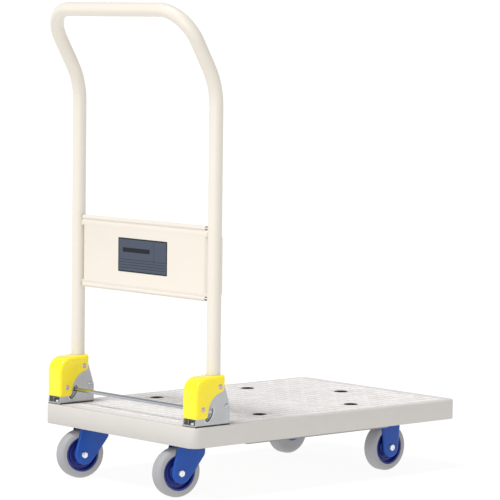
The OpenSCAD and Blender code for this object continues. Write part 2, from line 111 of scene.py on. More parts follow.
JOINTS = {j["name"]: j for j in frame["joints"]}
DECK_LO, DECK_HI = box("deck_shell")
TOP = DECK_HI.z
POST_X = mid("tube_feet").x
POST_Y = mid("bracket_left").y
PIVOT_Z = mid("fold_pins").z
LEVER = mid("lever_pins")
STOP = mid("stop_pins")
ROD = mid("release_rod")
SIDES = (("left", 1), ("right", -1))
BOTH = (1, -1)
CORNERS = ((1, 1, 0), (-1, 1, 90), (-1, -1, 180), (1, -1, 270))
PLUGS = islands("deck_plugs")


# ---------------------------------------------------------------- materials

# sockets of the Mix node in its colour mode, where several share a name
MIX_FACTOR, MIX_A, MIX_B, MIX_RESULT = 0, 6, 7, 2
COAT_ROUGHNESS = 0.12
GRAIN_SCALE, SPECK_TONE = 900.0, 0.55
BUMP_DEPTH = 0.0002
SPANGLE_SCALE, SPANGLE_TONE = 160.0, 1.35
DUST_SCALE, DUST_LOW, DUST_HIGH = 55.0, -0.45, 0.55
WEAR_AND_SHEEN_SCALE, EDGE_FROM, EDGE_FULL = 140.0, 0.53, 0.62


def ramp(nt, source, low, high):
    """Stretches a value from 0 to 1 over low to high."""
    node = nt.nodes.new("ShaderNodeMapRange")
    node.inputs["To Min"].default_value = low
    node.inputs["To Max"].default_value = high
    nt.links.new(source, node.inputs["Value"])
    return node.outputs["Result"]


def noise(nt, vector, scale, detail=2.0, rough=0.5):
    node = nt.nodes.new("ShaderNodeTexNoise")
    node.inputs["Scale"].default_value = scale
    node.inputs["Detail"].default_value = detail
    node.inputs["Roughness"].default_value = rough
    nt.links.new(vector, node.inputs["Vector"])
    return node.outputs["Fac"]


def mixed(nt, factor, a, b):
    node = nt.nodes.new("ShaderNodeMix")
    node.data_type = "RGBA"
    for index, value in ((MIX_A, a), (MIX_B, b)):
        socket = node.inputs[index]
        if isinstance(value, tuple):
            socket.default_value = (*value, 1)
        else:
            nt.links.new(value, socket)
    nt.links.new(factor, node.inputs[MIX_FACTOR])
    return node.outputs[MIX_RESULT]


def tone(c, k):
    return tuple(min(1.0, v * k) for v in c)


def spangled(nt, where, surface, color, amount):
    """Crystals of a zinc coat, as cells of a lighter tone."""
    cells = nt.nodes.new("ShaderNodeTexVoronoi")
    cells.inputs["Scale"].default_value = SPANGLE_SCALE
    nt.links.new(where, cells.inputs["Vector"])
    return mixed(nt, ramp(nt, cells.outputs["Color"], 0, amount), surface,
                 tone(color, SPANGLE_TONE))


def dusted(nt, place, surface, dust):
    """Soft uneven patches of dust."""
    cloud = noise(nt, place, DUST_SCALE, 5.0, 0.65)
    return mixed(nt, ramp(nt, cloud, DUST_LOW, DUST_HIGH), surface, dust)


def worn_and_sheened_edges(nt, place, surface, wear_and_sheen, amount):
    """Broken tone along the outward edges: real wear on the deck and handle paint, and a painted
    highlight on the fork paint.
    """
    edge = nt.nodes.new("ShaderNodeMapRange")
    edge.inputs["From Min"].default_value = EDGE_FROM
    edge.inputs["From Max"].default_value = EDGE_FULL
    edge.inputs["To Max"].default_value = amount
    point = nt.nodes.new("ShaderNodeNewGeometry").outputs["Pointiness"]
    nt.links.new(point, edge.inputs["Value"])
    broken = nt.nodes.new("ShaderNodeMath")
    broken.operation = "MULTIPLY"
    nt.links.new(edge.outputs["Result"], broken.inputs[0])
    nt.links.new(noise(nt, place, WEAR_AND_SHEEN_SCALE, 4.0), broken.inputs[1])
    return mixed(nt, broken.outputs[0], surface, wear_and_sheen)


def material(name, color, rough, metal=0.0, coat=0.0, vary=0.05, patch=18.0, speckle=0.04,
             bump=0.15, bump_scale=700.0, stretch=(1, 1, 1), wear_and_sheen=None, wear_and_sheen_amount=0.3,
             spangle=0.0, rough_vary=0.06, dust=None, spec=0.5):
    """Base colour varied in large patches and fine specks, with uneven gloss and a fine bump."""
    m = bpy.data.materials.new(name)
    m.use_nodes = True
    nt = m.node_tree
    shader = nt.nodes["Principled BSDF"]
    shader.inputs["Metallic"].default_value = metal
    shader.inputs["Coat Weight"].default_value = coat
    shader.inputs["Coat Roughness"].default_value = COAT_ROUGHNESS
    shader.inputs["Specular IOR Level"].default_value = spec
    place = nt.nodes.new("ShaderNodeTexCoord").outputs["Object"]
    scaled = nt.nodes.new("ShaderNodeMapping")
    scaled.inputs["Scale"].default_value = stretch
    nt.links.new(place, scaled.inputs["Vector"])
    where = scaled.outputs["Vector"]
    large = noise(nt, where, patch, 3.0)
    fine = noise(nt, where, GRAIN_SCALE, 1.0)
    surface = mixed(nt, ramp(nt, large, 0, 1), tone(color, 1 - vary), tone(color, 1 + vary))
    surface = mixed(nt, ramp(nt, fine, -speckle * 4, speckle * 4), surface,
                    tone(color, SPECK_TONE))
    if spangle:
        surface = spangled(nt, where, surface, color, spangle)
    if dust:
        surface = dusted(nt, place, surface, dust)
    # Tone along the outward edges: wear on most paints, and on the fork paint a painted highlight.
    if wear_and_sheen:
        surface = worn_and_sheened_edges(nt, place, surface, wear_and_sheen, wear_and_sheen_amount)
    gloss = noise(nt, where, patch * 5, 4.0)
    nt.links.new(surface, shader.inputs["Base Color"])
    nt.links.new(ramp(nt, gloss, rough - rough_vary, rough + rough_vary),
                 shader.inputs["Roughness"])
    lift = nt.nodes.new("ShaderNodeBump")
    lift.inputs["Strength"].default_value = bump
    lift.inputs["Distance"].default_value = BUMP_DEPTH
    nt.links.new(noise(nt, where, bump_scale, 2.0), lift.inputs["Height"])
    nt.links.new(lift.outputs["Normal"], shader.inputs["Normal"])
    return m


MATERIALS = {
    "deck_paint": material("deck_paint", (0.605, 0.575, 0.54), 0.42, vary=0.03, speckle=0.03,
                           bump=0.25, bump_scale=420, wear_and_sheen=(0.50, 0.47, 0.44), wear_and_sheen_amount=0.35),
    # The pad is painted darker than the bars: painted shade in the hollows between the bars.
    "tread": material("tread", (0.70, 0.675, 0.66), 0.62, vary=0.05, speckle=0.06, bump=0.5,
                      bump_scale=650, dust=(0.64, 0.61, 0.595), patch=9),
    "plug_rubber": material("plug_rubber", (0.006, 0.006, 0.0065), 0.85, spec=0.15, vary=0.2,
                            bump=0.3),
    "frame_paint": material("frame_paint", (0.34, 0.33, 0.33), 0.5, vary=0.06, bump=0.3,
                            dust=(0.28, 0.26, 0.24)),
    "zinc": material("zinc", (0.47, 0.475, 0.485), 0.38, metal=0.85, vary=0.05, spangle=0.22,
                     bump=0.1, stretch=(1, 1, 0.25), rough_vary=0.1),
    "gasket_rubber": material("gasket_rubber", (0.03, 0.03, 0.03), 0.7, vary=0.15),
    "cover_plastic": material("cover_plastic", (0.96, 0.78, 0.010), 0.20, coat=0.40, spec=0.40,
                              vary=0.025, speckle=0.01, bump=0.12, bump_scale=260,
                              rough_vary=0.05),
    "pin_steel": material("pin_steel", (0.60, 0.50, 0.49), 0.27, metal=1.0, vary=0.05, bump=0.1),
    "nylon": material("nylon", (0.72, 0.71, 0.66), 0.45, vary=0.03),
    "rod_chrome": material("rod_chrome", (0.50, 0.53, 0.57), 0.12, metal=1.0, vary=0.02,
                           bump=0.06, stretch=(1, 0.05, 1), rough_vary=0.05),
    "handle_paint": material("handle_paint", (0.745, 0.69, 0.605), 0.34, coat=0.15, vary=0.02,
                             speckle=0.012, bump=0.16, bump_scale=380,
                             wear_and_sheen=(0.62, 0.56, 0.48), wear_and_sheen_amount=0.25),
    "label_print": material("label_print", (0.056, 0.07, 0.105), 0.5, spec=0.3, vary=0.05,
                            bump=0.05),
    # The fork edges get a lighter blue through the edge tone: a painted highlight along the edges,
    # not wear.
    "fork_paint": material("fork_paint", (0.009, 0.07, 0.36), 0.22, coat=0.04, spec=0.3, vary=0.08,
                           speckle=0.012, bump=0.12, bump_scale=240,
                           wear_and_sheen=(0.03, 0.13, 0.45), wear_and_sheen_amount=0.3),
    "axle_steel": material("axle_steel", (0.84, 0.86, 0.88), 0.24, metal=0.9, vary=0.04, bump=0.1),
    "tyre_rubber": material("tyre_rubber", (0.365, 0.365, 0.38), 0.6, vary=0.05, speckle=0.05,
                            bump=0.35, bump_scale=520, dust=(0.34, 0.335, 0.33)),
    "core_plastic": material("core_plastic", (0.012, 0.024, 0.22), 0.34, coat=0.15, vary=0.08,
                             bump=0.2, bump_scale=300),
}
LABEL_DARK = material("label_dark", (0.010, 0.011, 0.015), 0.5, spec=0.2, vary=0.08, bump=0.05)
DARK_STEEL = material("dark_steel", (0.09, 0.09, 0.095), 0.45, metal=0.7, vary=0.1, bump=0.1)
# The bars are painted lighter than the pad: painted light on their tops.
TREAD_BARS_LIT = material("tread_bars_lit", (0.82, 0.79, 0.775), 0.5, vary=0.06, speckle=0.05, bump=0.4,
                     bump_scale=650, dust=(0.74, 0.71, 0.69), patch=14)

CAD_SLOTS = {
    "frame_paint": ["deck_rails", "cross_members"],
    "gasket_rubber": ["bracket_gaskets"],
    "nylon": ["fold_washers"],
    "zinc": ["lock_lever_left", "lock_lever_right", "tube_feet", "kingpins"],
    "pin_steel": ["lever_springs", "rod_clips", "swivel_balls"],
    "axle_steel": ["axle_sleeves_front", "axle_sleeve_rear_left", "axle_sleeve_rear_right",
                   "bearings_front_left", "bearings_front_right", "bearings_rear_left",
                   "bearings_rear_right"],
    "fork_paint": ["swivel_plates"],
}


def dress(obj, slot):
    obj.data.materials.clear()
    obj.data.materials.append(MATERIALS[slot])


for slot_name, names in CAD_SLOTS.items():
    for node_name in names:
        dress(NODES[node_name], slot_name)
for node_name in ("lock_lever_left", "lock_lever_right"):
    NODES[node_name].data.materials[0] = DARK_STEEL


# ---------------------------------------------------------------- mesh tools

def make(name, bm, like, slot, replaces=(), sharp=35, surface=None):
    """Turns a mesh in millimetres into a piece that rides with the body of the CAD node like."""
    bmesh.ops.remove_doubles(bm, verts=bm.verts, dist=2e-4)
    bmesh.ops.dissolve_degenerate(bm, edges=bm.edges, dist=1e-5)
    bmesh.ops.recalc_face_normals(bm, faces=bm.faces)
    bmesh.ops.scale(bm, vec=(MM,) * 3, verts=bm.verts)
    mesh = bpy.data.meshes.new(name)
    bm.to_mesh(mesh)
    bm.free()
    mesh.shade_smooth()
    mesh.set_sharp_from_angle(angle=radians(sharp))
    obj = bpy.data.objects.new(name, mesh)
    bpy.context.scene.collection.objects.link(obj)
    mesh.materials.append(surface or MATERIALS[slot])
    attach(obj, NODES[like]["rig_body"])
    if replaces:
        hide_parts(*replaces)
    return obj


def loft(bm, rings, closed=False):
    """Skins a row of rings; the ends are capped unless the row closes on itself."""
    rows = [[bm.verts.new(p) for p in ring] for ring in rings]
    n = len(rows[0])
    pairs = list(zip(rows, rows[1:])) + ([(rows[-1], rows[0])] if closed else [])
    for a, b in pairs:
        for i in range(n):
            j = (i + 1) % n
            bm.faces.new((a[i], a[j], b[j], b[i]))
    if not closed:
        bm.faces.new(rows[0][::-1])
        bm.faces.new(rows[-1])


def across(axis):
    """Two unit directions square to an axis and to each other."""
    side = X if abs(axis.dot(X)) < 0.9 else Z
    u = (side - axis * side.dot(axis)).normalized()
    return u, axis.cross(u)


def lathe(bm, at, axis, profile, segs, closed=False):
    """Revolves (radius, height) pairs about the axis through the point at."""
    axis = axis.normalized()
    u, v = across(axis)
    turns = [2 * pi * i / segs for i in range(segs)]
    loft(bm, [[at + axis * h + (u * cos(t) + v * sin(t)) * r for t in turns]
              for r, h in profile], closed=closed)


def hexagon(bm, at, axis, across_corners, height, bore=0.0, dimple=0.0, turned=0.0):
    """Hexagonal head or nut with a chamfered top, standing on the point at."""
    axis = axis.normalized()
    u, v = across(axis)
    apothem = across_corners / 2 * cos(pi / 6)
    segs = 48
    turns = [2 * pi * i / segs + turned for i in range(segs)]
    edge = [apothem / cos((t - turned) % (pi / 3) - pi / 6) for t in turns]

    def ring(radii, heights):
        return [at + axis * h + (u * cos(t) + v * sin(t)) * r
                for t, r, h in zip(turns, radii, heights)]

    def circle(r, h):
        return ring([r] * segs, [h] * segs)

    top_r = apothem * 0.93
    slope = tan(radians(30))
    soften, dimple_depth = 0.5, 0.6
    rings = [ring(edge, [0] * segs), ring(edge, [height - (r - top_r) * slope for r in edge]),
             circle(top_r, height)]
    if bore:
        rings += [circle(bore + soften, height), circle(bore, height - soften), circle(bore, 0)]
        loft(bm, rings, closed=True)
        return
    if dimple:
        rings += [circle(dimple, height), circle(dimple * 0.8, height - dimple_depth)]
    loft(bm, rings)


def rounded_rect(cx, cy, w, d, r, z, steps=10):
    points = []
    for sx, sy, a0 in CORNERS:
        for i in range(steps + 1):
            a = radians(a0 + 90 * i / steps)
            points.append(Vector((cx + sx * (w / 2 - r) + r * cos(a),
                                  cy + sy * (d / 2 - r) + r * sin(a), z)))
    return points


def soft(circles, inset=0.0, step=6.0):
    """Convex outline through round corners, given anticlockwise as (x, y, radius)."""
    n = len(circles)

    def heading(a, b):
        gap = hypot(b[0] - a[0], b[1] - a[1])
        return atan2(b[1] - a[1], b[0] - a[0]) - pi / 2 + asin((a[2] - b[2]) / gap)

    points = []
    for i, (x, y, r) in enumerate(circles):
        a0 = heading(circles[i - 1], circles[i])
        turn = (heading(circles[i], circles[(i + 1) % n]) - a0) % (2 * pi)
        k = max(1, ceil(turn / radians(step)))
        for j in range(k + 1):
            a = a0 + turn * j / k
            points.append((x + (r - inset) * cos(a), y + (r - inset) * sin(a)))
    return points


def flat_sheet(outline, holes, thickness, edge, steps=2):
    """Flat blank with softened edges: outline and holes in x and y, thickness about z = 0."""
    curve = bpy.data.curves.new("blank", "CURVE")
    curve.dimensions = "2D"
    curve.fill_mode = "BOTH"
    curve.extrude = thickness / 2 - edge
    curve.bevel_depth = edge
    curve.bevel_resolution = steps
    curve.offset = -edge
    for points in (outline, *holes):
        spline = curve.splines.new("POLY")
        spline.points.add(len(points) - 1)
        for p, (a, b) in zip(spline.points, points):
            p.co = (a, b, 0, 1)
        spline.use_cyclic_u = True
    obj = bpy.data.objects.new("blank", curve)
    bpy.context.scene.collection.objects.link(obj)
    dg = bpy.context.evaluated_depsgraph_get()
    mesh = bpy.data.meshes.new_from_object(obj.evaluated_get(dg))
    bm = bmesh.new()
    bm.from_mesh(mesh)
    bpy.data.objects.remove(obj)
    bpy.data.curves.remove(curve)
    bpy.data.meshes.remove(mesh)
    bmesh.ops.remove_doubles(bm, verts=bm.verts, dist=1e-4)
    return bm


def cut(bm, at, normal):
    """Splits the faces along a plane, so that they can be bent there."""
    bmesh.ops.bisect_plane(bm, geom=bm.verts[:] + bm.edges[:] + bm.faces[:], dist=1e-5,
                           plane_co=at, plane_no=normal)


def move(bm, f):
    for v in bm.verts:
        v.co = f(v.co.copy())


def merge(bm, other):
    """Adds another mesh to bm and frees it."""
    mesh = bpy.data.meshes.new("part")
    other.to_mesh(mesh)
    other.free()
    bm.from_mesh(mesh)
    bpy.data.meshes.remove(mesh)


def carried(path, radius, segs, start=None, closed=False):
    """Rings of a round section carried along a path without twist."""
    n = len(path)
    last = n - 1
    if closed:
        tangents = [(path[(i + 1) % n] - path[i - 1]).normalized() for i in range(n)]
    else:
        tangents = [(path[min(i + 1, last)] - path[max(i - 1, 0)]).normalized()
                    for i in range(n)]
    u = across(tangents[0])[0] if start is None else start
    rings = []
    for p, t in zip(path, tangents):
        u = (u - t * u.dot(t)).normalized()
        v = t.cross(u)
        rings.append([p + (u * cos(a) + v * sin(a)) * radius
                      for a in (2 * pi * i / segs for i in range(segs))])
    return rings


def arc_points(cx, cy, r, a0, a1, n):
    """Points of an arc in n steps, with its angles in degrees."""
    return [(cx + r * cos(radians(a0 + (a1 - a0) * i / n)),
             cy + r * sin(radians(a0 + (a1 - a0) * i / n))) for i in range(n + 1)]


# ---------------------------------------------------------------- deck

SKIRT = DECK_LO.z
WALL = 1.6
HEM = 0.5
CORNER = 20.0
EDGE_R = 2.6
DECK_L, DECK_W = DECK_HI.x - DECK_LO.x, DECK_HI.y - DECK_LO.y
DECK_C = (DECK_LO + DECK_HI) / 2


def deck_ring(inset, z):
    return rounded_rect(DECK_C.x, DECK_C.y, DECK_L - 2 * inset, DECK_W - 2 * inset,
                        CORNER - inset, z, 14)


def deck():
    """Tray with a rounded top edge, open below."""
    outer = [(WALL - HEM, SKIRT), (HEM, SKIRT), (0, SKIRT + HEM), (0, TOP - EDGE_R)]
    outer += [(EDGE_R * (1 - cos(a)), TOP - EDGE_R * (1 - sin(a)))
              for a in (radians(15 * i) for i in range(1, 7))]
    inner_r = EDGE_R - WALL + 0.6
    inner = [(WALL, SKIRT + HEM), (WALL, TOP - WALL - inner_r)]
    inner += [(WALL + inner_r * (1 - cos(a)), TOP - WALL - inner_r * (1 - sin(a)))
              for a in (radians(30 * i) for i in range(1, 4))]
    bm = bmesh.new()
    loft(bm, [deck_ring(inset, z) for inset, z in inner[::-1] + outer])
    make("deck_pan", bm, "deck_shell", "deck_paint", ["deck_shell"], sharp=50)


TREAD_X = DECK_LO.x + 112.0  # where the tread narrows to pass between the brackets
TREAD_HALF = 188.0           # half width of its narrow rear part
TREAD_R = 10.0
TREAD_BASE = TOP + 0.3
PITCH_X, PITCH_Y = 22.0, 25.0
MARGIN_X, MARGIN_Y = 24.0, 26.0
PLUG_ROOM = 24.0
TONGUE_ROOM = 12.0
HALF_LENGTHS, HALF_WIDTHS = (9.6, 10.4, 11.2), (4.2, 6.6, 9.2)


def tread_outline(lo, hi, inset, z):
    x0, x1, y1 = TREAD_X + inset, hi.x - inset, hi.y - inset
    r = TREAD_R - inset
    loop = []
    for cx, cy, a0 in ((x1 - r, y1 - r, 0), (x0 + r, y1 - r, 90)):
        loop += arc_points(cx, cy, r, a0, a0 + 90, 8)
    half = TREAD_HALF - inset
    loop += [(x0, half), (lo.x + inset, half)]
    loop += [(x, -y) for x, y in loop[::-1]]
    return [Vector((x, y, z)) for x, y in loop]


def tread_bar(bm, x, y, turn, half_l, half_w, top):
    """One raised bar with round corners, drawn in a little at its top."""
    rings = []
    for inset, z in ((0, TREAD_BASE - 0.05), (0, TREAD_BASE + 0.15), (0.9, top)):
        r = min(half_w - inset, 2.2)
        loop = rounded_rect(0, 0, 2 * (half_l - inset), 2 * (half_w - inset), r, z, 4)
        rings.append([Vector((x + p.x * cos(turn) - p.y * sin(turn),
                              y + p.x * sin(turn) + p.y * cos(turn), z)) for p in loop])
    loft(bm, rings)


def tread():
    """Low pad of the tread, and raised bars laid in short crossed groups; the pad is painted
    darker than the bars, as painted shade between them.
    """
    lo, hi = box("deck_tread")
    bm = bmesh.new()
    loft(bm, [tread_outline(lo, hi, inset, z) for inset, z in
              ((0, TOP + 0.002), (0.3, TREAD_BASE - 0.1), (0.8, TREAD_BASE))])
    make("deck_relief", bm, "deck_tread", "tread", ["deck_tread"], sharp=25)

    bm = bmesh.new()
    chance = random.Random(7)
    mid_x, mid_y = (TREAD_X + hi.x) / 2, (lo.y + hi.y) / 2
    nx = int((hi.x - TREAD_X - MARGIN_X) / PITCH_X)
    ny = int((hi.y - lo.y - MARGIN_Y) / PITCH_Y)
    rear_rows = int((TREAD_X - lo.x) / PITCH_X)
    plug_centres = [(a + b) / 2 for a, b in PLUGS]
    for i in range(-rear_rows, nx + 1):
        for j in range(ny + 1):
            x = mid_x + (i - nx / 2) * PITCH_X
            y = mid_y + (j - ny / 2) * PITCH_Y
            if any(hypot(x - p.x, y - p.y) < PLUG_ROOM for p in plug_centres):
                continue
            if x < TREAD_X + TONGUE_ROOM and abs(y) > TREAD_HALF - TONGUE_ROOM:
                continue
            crossed = (i + j) % 2
            turn = radians(90 * crossed) + radians(chance.uniform(-2, 2))
            half_l = chance.choice(HALF_LENGTHS) - (0 if crossed else 0.6)
            half_w = chance.choice(HALF_WIDTHS)
            tread_bar(bm, x, y, turn, half_l, half_w, hi.z)
    # The bars take the lighter tread material, painted light against the pad's painted shade.
    make("deck_relief_bars", bm, "deck_tread", "tread", surface=TREAD_BARS_LIT, sharp=25)


def plugs():
    profile = [(11.6, -6), (12.6, -5), (12.6, 0), (15, 0.02), (14.7, 0.45), (13.4, 0.84),
               (9.8, 0.84), (9.2, 0.6), (3.4, 0.6), (2.8, 0.8)]
    bm = bmesh.new()
    for lo, hi in PLUGS:
        c = (lo + hi) / 2
        lathe(bm, Vector((c.x, c.y, TOP)), Z, profile, 56)
    make("plug_caps", bm, "deck_plugs", "plug_rubber", ["deck_plugs"])


# ---------------------------------------------------------------- folded sheet brackets

BR_LO, BR_HI = box("bracket_left")
SHEET = 3.0
BEND = 3.5  # outer radius of the bend
HALF_W = (BR_HI.y - BR_LO.y) / 2
BASE_HALF = HALF_W - BEND
BEND_MID = BEND - SHEET / 2
BEND_L = BEND_MID * pi / 2
SLOT_R, SLOT_HALF, SLOT_A0, SLOT_A1 = 23.0, 5.5, -6.0, -60.0
RIM_R = 0.85


def slot_loop(half):
    """Outline in x and z of the curved slot about the lever pin."""
    cx, cz = LEVER.x, LEVER.z
    end0 = arc_points(cx, cz, SLOT_R, SLOT_A0, SLOT_A0, 1)[0]
    end1 = arc_points(cx, cz, SLOT_R, SLOT_A1, SLOT_A1, 1)[0]
    loop = arc_points(cx, cz, SLOT_R + half, SLOT_A1, SLOT_A0, 10)
    loop += arc_points(*end0, half, SLOT_A0, SLOT_A0 + 180, 12)[1:]
    loop += arc_points(cx, cz, SLOT_R - half, SLOT_A0, SLOT_A1, 10)[1:]
    loop += arc_points(*end1, half, SLOT_A1 + 180, SLOT_A1 + 360, 12)[1:-1]
    return loop


def bracket(side, s):
    """Sheet blank with both cheeks and their slots, folded up along two bends."""
    z_bend = BR_LO.z + BEND

    def unfold(x, z):
        return x, z - z_bend + BASE_HALF + BEND_L

    point, stop_r, pivot_r, lever_r = 0.1, 6.0, 13.0, 12.0
    cheek = soft([(BR_LO.x + point, z_bend, point), (BR_HI.x - point, z_bend, point),
                  (BR_HI.x - stop_r, STOP.z - 2, stop_r), (POST_X, PIVOT_Z, pivot_r),
                  (LEVER.x, LEVER.z + 4, lever_r)])
    cheek = [p for p in cheek if p[1] > z_bend + 2]
    start = max(range(len(cheek)), key=lambda i: cheek[i][0] - cheek[i][1])
    cheek = cheek[start:] + cheek[:start]
    half = [unfold(*p) for p in [(BR_HI.x, z_bend)] + cheek + [(BR_LO.x, z_bend)]]
    slot = [unfold(*p) for p in slot_loop(SLOT_HALF)]
    bm = flat_sheet(half + [(a, -b) for a, b in half[::-1]],
                    [slot, [(a, -b) for a, b in slot[::-1]]], SHEET, 0.35)
    cuts = 8
    for k in range(cuts + 1):
        for m in BOTH:
            cut(bm, Vector((0, m * (BASE_HALF + BEND_L * k / cuts), 0)), Y)

    def fold(p):
        m = 1 if p.y >= 0 else -1
        along, up = abs(p.y), p.z + SHEET / 2
        if along <= BASE_HALF:
            return Vector((p.x, s * POST_Y + p.y, BR_LO.z + up))
        a = (along - BASE_HALF) / BEND_MID
        if a <= pi / 2:
            r = BEND - up
            return Vector((p.x, s * POST_Y + m * (BASE_HALF + r * sin(a)), z_bend - r * cos(a)))
        return Vector((p.x, s * POST_Y + m * (HALF_W - up), z_bend + along - BASE_HALF - BEND_L))

    move(bm, fold)
    name = "bracket_" + side
    make("hinge_bracket_" + side, bm, name, "zinc", [name], sharp=40)


def slot_highlight_rims():
    """Rolled edges of the four slots, in brighter steel than the bracket: a painted highlight on
    the slot edges.
    """
    bm = bmesh.new()
    for _, s in SIDES:
        for m in BOTH:
            y = s * POST_Y + m * (HALF_W + 0.05)
            path = [Vector((a, y, b)) for a, b in slot_loop(SLOT_HALF + RIM_R)]
            loft(bm, carried(path, RIM_R, 10, closed=True), closed=True)
    # The rims use the bright axle steel, not the bracket zinc, as a painted highlight.
    make("slot_highlight_rims", bm, "bracket_left", "axle_steel")


# ---------------------------------------------------------------- moulded covers

COV_LO, COV_HI = box("cover_left")
COV_HALF = (COV_HI.y - COV_LO.y) / 2
COV_WALL = 1.8
COV_R = 6.6               # round between the cheeks and the rear and top
CORNER_R = 30.0           # round from the rear into the top
TOP_RISE = radians(3.9)
REAR_DROP = 3.4
POST_GAP = 15.2           # radius of the opening for the post
NOSE_R, HOLLOW_R, FOOT_R = 10.4, 43.3, 8.0


def cover_line(inset):
    """Rear and top line of a cover, as points in x and z."""
    x0, z0, z1 = COV_LO.x, COV_LO.z, COV_HI.z
    cx, cz, r = x0 + CORNER_R, z1 - REAR_DROP - CORNER_R, CORNER_R - inset
    line = [(x0 + inset, z0 + (cz - z0) * i / 6) for i in range(7)]
    a1 = pi / 2 + TOP_RISE
    line += [(cx + r * cos(a), cz + r * sin(a))
             for a in (pi + (a1 - pi) * i / 14 for i in range(1, 15))]
    start = line[-1]
    stations = [POST_X - POST_GAP * cos(radians(15 * i)) for i in range(7)]
    stations += [POST_X + 4, COV_HI.x - 0.5]
    line += [(x, start[1] + (x - start[0]) * tan(TOP_RISE)) for x in stations]
    return line


def cover_front():
    """Front edge of a cheek, from the top down: nose, hollow round the slot, foot."""
    hx, hz = COV_HI.x, COV_LO.z + 8
    fx, fz = hx - HOLLOW_R - FOOT_R, COV_LO.z + FOOT_R
    front = arc_points(POST_X, PIVOT_Z, NOSE_R, 12, -77.8, 12)
    front += arc_points(hx, hz, HOLLOW_R, 102.2, 180, 14)[1:]
    return front + arc_points(fx, fz, FOOT_R, 0, -90, 7)[1:]


def cover_skin(cy):
    """Outer face of a cover: rear and top with an opening for the post, and two cheeks."""
    steps = 6
    depths = [(COV_R * (1 - sin(a)), COV_HALF - COV_R * (1 - cos(a)))
              for a in (pi / 2 * i / steps for i in range(steps + 1))]
    lines = [cover_line(d) for d, _ in depths]
    n = len(lines[0])
    bm = bmesh.new()
    rows = {m: [[bm.verts.new((x, cy + m * y, z)) for x, z in line]
                for line, (_, y) in zip(lines, depths)] for m in BOTH}
    for m in BOTH:
        for a, b in zip(rows[m], rows[m][1:]):
            for k in range(n - 1):
                bm.faces.new((a[k], a[k + 1], b[k + 1], b[k]))
    centre = {1: [], -1: []}
    for x, z in lines[-1]:
        gap = 0.0
        if x > POST_X - POST_GAP:
            gap = POST_GAP if x > POST_X else sqrt(max(0, POST_GAP ** 2 - (x - POST_X) ** 2))
        if gap < 0.01:
            v = bm.verts.new((x, cy, z))
            centre[1].append(v)
            centre[-1].append(v)
        else:
            for m in BOTH:
                centre[m].append(bm.verts.new((x, cy + m * gap, z)))
    for m in BOTH:
        edge, middle = rows[m][-1], centre[m]
        for k in range(n - 1):
            bm.faces.new((edge[k], edge[k + 1], middle[k + 1], middle[k]))
        front = [bm.verts.new((x, cy + m * COV_HALF, z)) for x, z in cover_front()]
        bm.faces.new(rows[m][0] + front)
    bmesh.ops.recalc_face_normals(bm, faces=bm.faces)
    if sum(f.normal.x for f in bm.faces if f.calc_center_median().x < COV_LO.x + 2) > 0:
        bmesh.ops.reverse_faces(bm, faces=bm.faces)
    bmesh.ops.triangulate(bm, faces=[f for f in bm.faces if len(f.verts) > 4])
    return bm


def thickened(bm):
    """The skin with a wall on its inner side and softened rims."""
    mesh = bpy.data.meshes.new("shell")
    bm.to_mesh(mesh)
    bm.free()
    obj = bpy.data.objects.new("shell", mesh)
    bpy.context.scene.collection.objects.link(obj)
    wall = obj.modifiers.new("wall", "SOLIDIFY")
    wall.thickness = COV_WALL
    wall.offset = -1
    wall.use_even_offset = True
    rim = obj.modifiers.new("rim", "BEVEL")
    rim.width = 0.45
    rim.segments = 2
    rim.limit_method = "ANGLE"
    rim.angle_limit = radians(50)
    dg = bpy.context.evaluated_depsgraph_get()
    solid = bpy.data.meshes.new_from_object(obj.evaluated_get(dg))
    out = bmesh.new()
    out.from_mesh(solid)
    bpy.data.objects.remove(obj)
    for used in (mesh, solid):
        bpy.data.meshes.remove(used)
    return out


def cover(side, s):
    name = "cover_" + side
    make("hinge_cover_" + side, thickened(cover_skin(s * POST_Y)), name, "cover_plastic",
         [name], sharp=32)


def rivet(bm, lo, hi, head_t, head_r, dimple):
    """Pin along y with a domed head at both ends."""
    c = (lo + hi) / 2
    half = (hi.y - lo.y) / 2
    shank = head_r * 0.72
    face = half - head_t
    end = [(dimple * 0.7, half - 0.75), (dimple, half - 0.35), (dimple + 0.7, half),
           (head_r * 0.7, half - 0.1), (head_r * 0.92, half - head_t * 0.45),
           (head_r, half - head_t * 0.8), (head_r, face), (shank, face)]
    lathe(bm, c, Y, end + [(r, -h) for r, h in end[::-1]], 40)


def rivets():
    for node, radius, dimple in (("fold_pins", 5.5, 1.9), ("lever_pins", 5.0, 1.5),
                                 ("stop_pins", 5.5, 1.6)):
        bm = bmesh.new()
        for lo, hi in islands(node):
            rivet(bm, lo, hi, 1.6, radius, dimple)
        made = make(node.replace("pins", "rivets"), bm, node, "pin_steel", [node])
        if node == "stop_pins":
            made.data.materials[0] = MATERIALS["rod_chrome"]


def release_bar():
    """Rod with chamfered ends, and a groove for each clip."""
    lo, hi = box("release_rod")
    half, r = (hi.y - lo.y) / 2, (hi.z - lo.z) / 2
    clip, groove = 9.0, 0.4
    line = [(r - 1.2, half), (r, half - 1.0)]
    for y in (POST_Y + clip, POST_Y - clip):
        line += [(r, y + 0.6), (r - groove, y + 0.3), (r - groove, y - 0.3), (r, y - 0.6)]
    bm = bmesh.new()
    lathe(bm, ROD, Y, line + [(a, -b) for a, b in line[::-1]], 48)
    make("release_bar", bm, "release_rod", "rod_chrome", ["release_rod"])


# ---------------------------------------------------------------- handle

KINK_Z = 821.5            # where the lines of post and lean would meet
KINK_A = radians(30.5)
KINK_R = 150.0
LEAN = 171.0              # from there to the line of the grip bar
TOP_R = 72.0
TUBE_R = 14.0
TUBE_WALL = 1.5
LINING = 64.0             # depth of the plug inside the foot
LIP = 0.4


